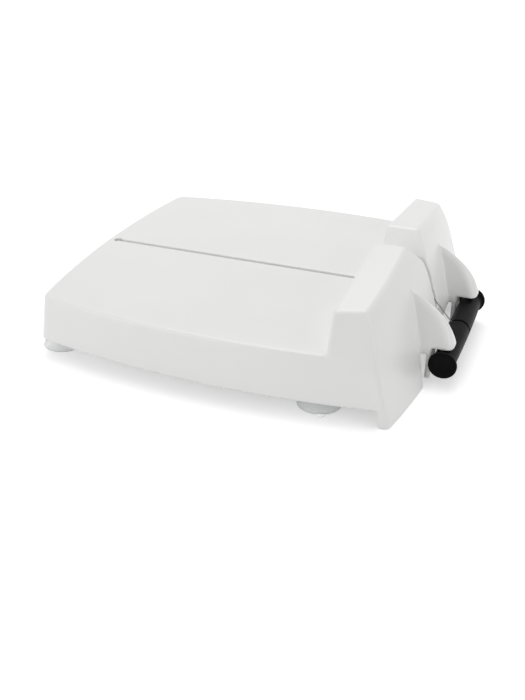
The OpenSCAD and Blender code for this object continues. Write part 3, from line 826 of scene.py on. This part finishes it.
strand = add_node(strand_tree, "GeometryNodeCurvePrimitiveCircle",
                  inputs={"Resolution": STRAND_SIDES, "Radius": strand_size.outputs[0]})
strands = add_node(strand_tree, "GeometryNodeInstanceOnPoints",
                   inputs={"Points": ring.outputs["Curve"], "Instance": strand.outputs["Curve"]})
section_of = add_node(strand_tree, "GeometryNodeRealizeInstances",
                      inputs={"Geometry": strands.outputs["Instances"]})
swept = add_node(strand_tree, "GeometryNodeCurveToMesh", inputs={
    "Curve": twisted.outputs["Curve"], "Profile Curve": section_of.outputs["Geometry"], "Fill Caps": True})
real = add_node(strand_tree, "GeometryNodeRealizeInstances", inputs={"Geometry": swept.outputs["Mesh"]})
coated = add_node(strand_tree, "GeometryNodeSetMaterial",
                  inputs={"Geometry": real.outputs["Geometry"], "Material": given.outputs["Steel"]})
add_node(strand_tree, "NodeGroupOutput", inputs={"Wire": coated.outputs["Geometry"]})
print("nodes in the strands' tree:", len(strand_tree.nodes))

# %% Paths of the wire
STRAND_COUNT = 6
PATH_STEP = 0.8 * MM
LAY_LENGTH = 9 * MM
WIRE_DIAMETER = 1 * MM

wire_low, wire_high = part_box("cutting_wire")
pin_low, pin_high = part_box("guide_pin")
eye_low, eye_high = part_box("wire_eye")
wire_radius = WIRE_DIAMETER / 2
wire_z = wire_high.z - wire_radius
loop_radius = wire_high.y - wire_radius
anchor_x = wire_low.x + wire_radius + loop_radius
pin_x = (pin_low.x + pin_high.x) / 2
pin_z = (pin_low.z + pin_high.z) / 2
bend_radius = wire_z - pin_z
eye_radius = (eye_high.x - eye_low.x) / 2
run_x = handle_axis.x - pin_x
drop_z = handle_axis.z - pin_z
span = math.hypot(run_x, drop_z)
tail_turn = math.atan2(drop_z, run_x) + math.acos(bend_radius / span)
tail_start = Vector((pin_x + bend_radius * math.cos(tail_turn), 0,
                     pin_z + bend_radius * math.sin(tail_turn)))
tail_length = math.sqrt(span ** 2 - bend_radius ** 2) - eye_radius + wire_radius
tail_end = tail_start + tail_length * Vector((math.sin(tail_turn), 0, -math.cos(tail_turn)))
print("the wire leaves the pin at", [round(value, 5) for value in tail_start])


# %% Helpers that sweep the wire
def steps_between(first, last, step):
    """Evenly spaced values from first to last, no further apart than step."""
    count = max(2, math.ceil(abs(last - first) / step) + 1)
    return numpy.linspace(first, last, count)


def sweep_wire(name, points):
    """Make one stretch of the stranded wire along a list of points."""
    mesh = bpy.data.meshes.new(name)
    mesh.from_pydata(points, [(index, index + 1) for index in range(len(points) - 1)], [])
    piece = bpy.data.objects.new(name, mesh)
    scene.collection.objects.link(piece)
    setting = piece.modifiers.new("strands_on_path", "NODES")
    setting.node_group = strand_tree
    setting[size_socket.identifier] = WIRE_DIAMETER
    setting[lay_socket.identifier] = LAY_LENGTH
    setting[count_socket.identifier] = STRAND_COUNT
    setting[steel_socket.identifier] = metals["strands"]
    apply_modifiers(piece)
    piece.data.shade_smooth()
    return piece


print("points along the tail:", len(steps_between(0, tail_length, PATH_STEP)))

# %% Sweep the wire along both paths
LOOP_OPENING = 0.1

loop_angles = steps_between(LOOP_OPENING, 2 * math.pi, PATH_STEP / loop_radius / 2)
run_points = [(anchor_x + loop_radius * math.cos(turn), loop_radius * math.sin(turn), wire_z)
              for turn in loop_angles]
run_points += [(x, 0, wire_z) for x in steps_between(anchor_x + loop_radius, pin_x, PATH_STEP)[1:]]
bend_angles = steps_between(math.pi / 2, tail_turn, PATH_STEP / bend_radius / 2)[1:]
run_points += [(pin_x + bend_radius * math.cos(turn), 0, pin_z + bend_radius * math.sin(turn))
               for turn in bend_angles]
wire_on_board = sweep_wire("wire_on_board", run_points)
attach(wire_on_board, "base")
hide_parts("cutting_wire")
tail_shares = steps_between(0, 1, PATH_STEP / tail_length)
wire_to_handle = sweep_wire("wire_to_handle", [tail_start.lerp(tail_end, share) for share in tail_shares])
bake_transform(wire_to_handle)
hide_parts("wire_tail")
print("faces of the wire:", len(wire_on_board.data.polygons), "and", len(wire_to_handle.data.polygons))

# %% [markdown]
# ## Small metal pieces
# The screw, the washer, the ferrule, the guide pin, the eye and the core keep their solids' shapes. A
# welded copy of each gets a fine bevel, because no real edge is perfectly sharp and a narrow round edge
# catches the light.

# %% Small metal pieces
FINE_EDGE = 0.15 * MM
EDGE_ANGLE = math.radians(40)
FLAT_ANGLE = math.radians(0.5)

for name, node, body, slot_name in (
        ("screw_in_board", "anchor_screw", "base", "steel"),
        ("washer_under_screw", "anchor_washer", "base", "steel"),
        ("ferrule_on_wire", "anchor_ferrule", "base", "ferrule"),
        ("pin_under_wire", "guide_pin", "base", "steel"),
        ("eye_of_wire", "wire_eye", "wire_end", "steel"),
        ("core_of_handle", "handle_core", "handle", "steel")):
    piece = mesh_from(name, node)
    cleaned = bmesh.new()
    cleaned.from_mesh(piece.data)
    bmesh.ops.dissolve_limit(cleaned, angle_limit=FLAT_ANGLE, verts=cleaned.verts, edges=cleaned.edges)
    cleaned.to_mesh(piece.data)
    cleaned.free()
    bevel = piece.modifiers.new("fine_edge", "BEVEL")
    bevel.width = FINE_EDGE
    bevel.segments = 2
    bevel.limit_method = "ANGLE"
    bevel.angle_limit = EDGE_ANGLE
    apply_modifiers(piece)
    piece.data.shade_smooth()
    piece.data.set_sharp_from_angle(angle=EDGE_ANGLE)
    piece.data.materials.clear()
    piece.data.materials.append(metals[slot_name])
    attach(piece, body)
    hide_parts(node)
    print(name, "has", len(piece.data.polygons), "faces")

# %% [markdown]
# ## Floor, light and background
# The photograph shows the slicer on plain white. The floor is pale and takes soft shadows. Where the
# camera, a mirror image or clear plastic looks at it, a little glow is added to it, so the open floor
# comes out white and the shadow under the board stays, while the lamps stay at a plain level. Far away,
# where little of the lamps' light arrives, the glow is stronger, so the horizon is white too.

# %% Rays that see the background
def sees_background(tree):
    """1 for rays from the camera, from a mirror image or through clear plastic, else 0."""
    rays = add_node(tree, "ShaderNodeLightPath")
    total = rays.outputs["Is Camera Ray"]
    for name in ("Is Glossy Ray", "Is Transmission Ray"):
        larger = add_node(tree, "ShaderNodeMath", {"operation": "MAXIMUM"},
                          {0: total, 1: rays.outputs[name]})
        total = larger.outputs[0]
    return total


floor_paper, tree, place = new_material("paper_backdrop_white")
seen = sees_background(tree)
print("nodes that tell the background's rays:", len(tree.nodes))

# %% Material of the floor
FIBRE_SIZE = 3 * MM
FLOOR_GLOW = 0.45
FAR_GLOW = 0.7
NEAR_FLOOR = 0.6
FAR_FLOOR = 1.8

# Matt white paper takes soft shadows and shows no highlight
fibres = add_node(tree, "ShaderNodeTexNoise",
                  inputs={"Vector": place, "Scale": 1 / FIBRE_SIZE, "Detail": 2})
tone = add_node(tree, "ShaderNodeMix", {"data_type": "RGBA"}, {"Factor": fibres.outputs["Fac"]})
tone.inputs[6].default_value = linear("#f4f4f4")
tone.inputs[7].default_value = linear("#fafafa")
matt = add_node(tree, "ShaderNodeBsdfDiffuse", inputs={"Color": tone.outputs[2]})
reach = add_node(tree, "ShaderNodeVectorMath", {"operation": "LENGTH"}, {0: place})
level = add_node(tree, "ShaderNodeMapRange", inputs={
    "Value": reach.outputs["Value"], "From Min": NEAR_FLOOR, "From Max": FAR_FLOOR,
    "To Min": FLOOR_GLOW, "To Max": FAR_GLOW})
strength = add_node(tree, "ShaderNodeMath", {"operation": "MULTIPLY"},
                    {0: seen, 1: level.outputs["Result"]})
glow = add_node(tree, "ShaderNodeEmission", inputs={"Color": (1, 1, 1, 1), "Strength": strength.outputs[0]})
shader = add_node(tree, "ShaderNodeAddShader", inputs={0: matt.outputs[0], 1: glow.outputs[0]})
finish_material(tree, shader)
print("made", floor_paper.name)

# %% Floor
FLOOR_SIZE = 12

half = FLOOR_SIZE / 2
corners = [(-half, -half, 0), (half, -half, 0), (half, half, 0), (-half, half, 0)]
floor_mesh = bpy.data.meshes.new("floor")
floor_mesh.from_pydata(corners, [], [(0, 1, 2, 3)])
floor_mesh.materials.append(floor_paper)
floor = bpy.data.objects.new("floor", floor_mesh)
scene.collection.objects.link(floor)
print("floor in metres:", FLOOR_SIZE)

# %% World
DOME_STRENGTH = 0.39

world = bpy.data.worlds.new("white_studio")
world.use_nodes = True
world.node_tree.nodes.clear()
seen = sees_background(world.node_tree)
level = add_node(world.node_tree, "ShaderNodeMapRange",
                 inputs={"Value": seen, "To Min": DOME_STRENGTH, "To Max": 1.0})
sky = add_node(world.node_tree, "ShaderNodeBackground",
               inputs={"Color": (1, 1, 1, 1), "Strength": level.outputs["Result"]})
add_node(world.node_tree, "ShaderNodeOutputWorld", inputs={"Surface": sky.outputs[0]})
scene.world = world
print("dome strength:", DOME_STRENGTH)

# %% [markdown]
# Three soft boxes model the form. One hangs above and behind the board, so the deck and the roofs are
# brightest. One stands to the left in front and lights the near side, and the end wall keeps it off the
# hooks. A weaker one to the right lights the end wall.

# %% Soft boxes
LAMP_TARGET = Vector((0, 0, 0.05))

for name, place, size, power in (
        ("soft_box_above", (-0.25, 0.55, 1.5), 1.3, 10.8),
        ("soft_box_left", (-1.0, -1.5, 0.6), 1.2, 9.2),
        ("soft_box_right", (1.6, -0.3, 0.7), 1.2, 5.6)):
    lamp_data = bpy.data.lights.new(name, "AREA")
    lamp_data.size = size
    lamp_data.energy = power
    lamp = bpy.data.objects.new(name, lamp_data)
    lamp.location = place
    lamp.rotation_euler = (LAMP_TARGET - Vector(place)).to_track_quat("-Z", "Y").to_euler()
    scene.collection.objects.link(lamp)
    print(name, "at", place, "with", power, "watts")
